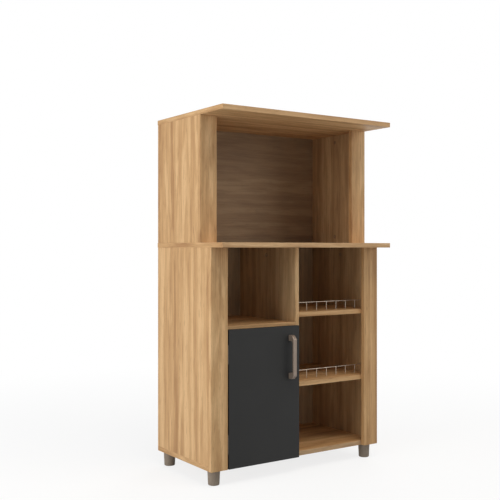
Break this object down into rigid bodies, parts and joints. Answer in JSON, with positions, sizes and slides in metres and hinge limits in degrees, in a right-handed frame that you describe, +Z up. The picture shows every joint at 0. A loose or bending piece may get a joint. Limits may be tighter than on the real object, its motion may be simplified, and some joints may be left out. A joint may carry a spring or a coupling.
{
  "type": "microwave cabinet",
  "caption": "Free-standing two-tier kitchen cabinet with an open appliance niche above a counter, open shelves with wire guards, and a cupboard with one side-hung door.",
  "frame": {"origin": "on the floor, below the middle of the top and counter boards", "axes": "+X to the right seen from the front, +Y from front to back, +Z up"},
  "size_m": [0.71, 0.428, 1.211],
  "materials": {
    "oak_upright": "oak-grain laminate, grain upright, satin",
    "oak_level": "oak-grain laminate, grain along the length, satin",
    "oak_back": "printed oak grain on thin hardboard",
    "door_laminate": "anthracite laminate, fine matt",
    "handle_lacquer": "taupe satin lacquer",
    "foot_plastic": "taupe moulded plastic",
    "guard_wire": "bright satin wire",
    "hinge_metal": "dark nickel",
    "screw_metal": "zinc plated",
    "cam_metal": "die-cast zinc",
    "beech": "plain beech",
    "block_plastic": "brown moulded plastic",
    "magnet": "plain"
  },
  "bodies": {
    "carcass": {"lower_left_side": "oak_upright", "lower_right_side": "oak_upright", "upper_left_side": "oak_upright", "upper_right_side": "oak_upright", "lower_left_stile": "oak_upright", "lower_right_stile": "oak_upright", "upper_left_stile": "oak_upright", "upper_right_stile": "oak_upright", "divider": "oak_upright", "bottom_board": "oak_level", "counter_board": "oak_level", "top_board": "oak_level", "left_shelf": "oak_level", "right_shelf_lower": "oak_level", "right_shelf_upper": "oak_level", "lower_back_panel": "oak_back", "upper_back_panel": "oak_back", "foot_front_left": "foot_plastic", "foot_front_right": "foot_plastic", "foot_rear_left": "foot_plastic", "foot_rear_right": "foot_plastic", "wire_guard_lower": "guard_wire", "wire_guard_upper": "guard_wire", "hinge_lower_stile_leaf": "hinge_metal", "hinge_upper_stile_leaf": "hinge_metal", "hinge_lower_pin": "hinge_metal", "hinge_upper_pin": "hinge_metal", "hinge_stile_screws": "screw_metal", "catch_screws": "screw_metal", "foot_screws": "screw_metal", "corner_block_screws": "screw_metal", "joint_screws": "screw_metal", "cam_bolts": "screw_metal", "back_panel_pins": "screw_metal", "cam_locks": "cam_metal", "dowels": "beech", "corner_blocks": "block_plastic", "catch_body": "block_plastic", "catch_magnet": "magnet"},
    "door": {"door_panel": "door_laminate", "door_handle": "handle_lacquer", "handle_screws": "screw_metal", "hinge_lower_door_leaf": "hinge_metal", "hinge_upper_door_leaf": "hinge_metal", "hinge_door_screws": "screw_metal", "catch_strike_plate": "screw_metal", "strike_screws": "screw_metal"}
  },
  "joints": [
    {"name": "door_hinge", "type": "hinge", "parent": "carcass", "child": "door", "pos_m": [-0.29, -0.1442, 0.275], "axis": [0, 0, -1], "range_deg": [0, 100]}
  ]
}
